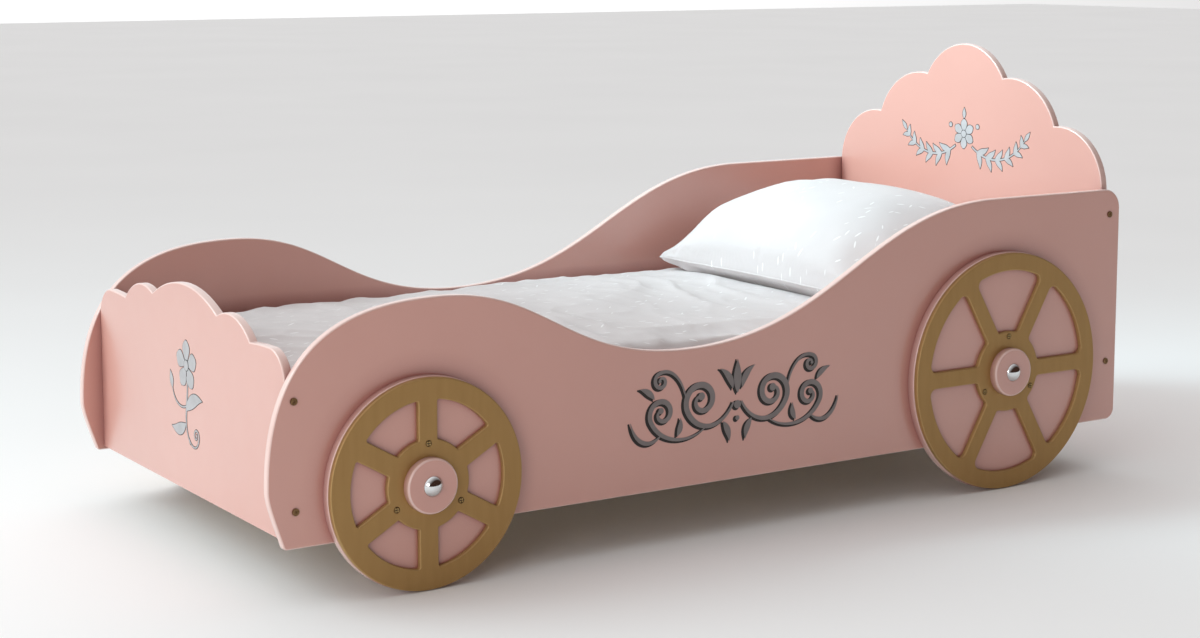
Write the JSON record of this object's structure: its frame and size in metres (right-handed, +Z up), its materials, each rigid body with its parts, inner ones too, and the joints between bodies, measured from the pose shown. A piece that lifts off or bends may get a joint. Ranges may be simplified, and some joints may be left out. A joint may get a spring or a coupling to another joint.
{
  "type": "car bed",
  "caption": "Single car bed for children, carriage shape: pink lacquered side panels, scalloped boards, gold spoked wheels, slatted base and bedding",
  "frame": {"origin": "on the floor, under the middle of the bed's overall length and width", "axes": "+X from the foot end to the head end, +Z up, +Y towards the side called right; -Y is the side called left"},
  "size_m": [2.12, 1.086, 0.958],
  "materials": {
    "pink_lacquer": "satin lacquer on board",
    "gold_lacquer": "satin metallic lacquer on board",
    "bare_pine": "planed, unfinished",
    "bronzed_steel": "bronzed",
    "chrome_plate": "polished",
    "cotton_tape": "woven tape",
    "mattress_cover": "knitted cover over foam",
    "printed_cotton": "soft cotton with small pale dashes"
  },
  "bodies": {
    "root": {"footboard": "pink_lacquer", "headboard": "pink_lacquer", "side_panel_left": "pink_lacquer", "side_panel_right": "pink_lacquer", "ledger_rail_left": "bare_pine", "ledger_rail_right": "bare_pine", "wheel_disc_front_left": "pink_lacquer", "spoke_plate_front_left": "gold_lacquer", "wheel_disc_front_right": "pink_lacquer", "spoke_plate_front_right": "gold_lacquer", "wheel_disc_rear_left": "pink_lacquer", "spoke_plate_rear_left": "gold_lacquer", "wheel_disc_rear_right": "pink_lacquer", "spoke_plate_rear_right": "gold_lacquer", "hub_discs": "pink_lacquer", "hub_caps": "chrome_plate", "footboard_bolts": "bronzed_steel", "headboard_bolts": "bronzed_steel"},
    "slatted_base": {"slat_01": "bare_pine", "slat_02": "bare_pine", "slat_03": "bare_pine", "slat_04": "bare_pine", "slat_05": "bare_pine", "slat_06": "bare_pine", "slat_07": "bare_pine", "slat_08": "bare_pine", "slat_09": "bare_pine", "slat_10": "bare_pine", "slat_11": "bare_pine", "slat_12": "bare_pine", "slat_13": "bare_pine", "slat_14": "bare_pine", "webbing_tape_left": "cotton_tape", "webbing_tape_right": "cotton_tape"},
    "mattress": {"mattress": "mattress_cover"},
    "duvet": {"duvet": "printed_cotton"},
    "pillow": {"pillow": "printed_cotton"}
  },
  "joints": [
    {"name": "base_lift", "type": "slide", "parent": "root", "child": "slatted_base", "axis": [0, 0, 1], "range_m": [0, 0.85]},
    {"name": "mattress_lift", "type": "slide", "parent": "slatted_base", "child": "mattress", "axis": [0, 0, 1], "range_m": [0, 0.85]},
    {"name": "duvet_lift", "type": "slide", "parent": "mattress", "child": "duvet", "axis": [0, 0, 1], "range_m": [0, 0.7]},
    {"name": "pillow_lift", "type": "slide", "parent": "duvet", "child": "pillow", "axis": [0, 0, 1], "range_m": [0, 0.6]}
  ]
}
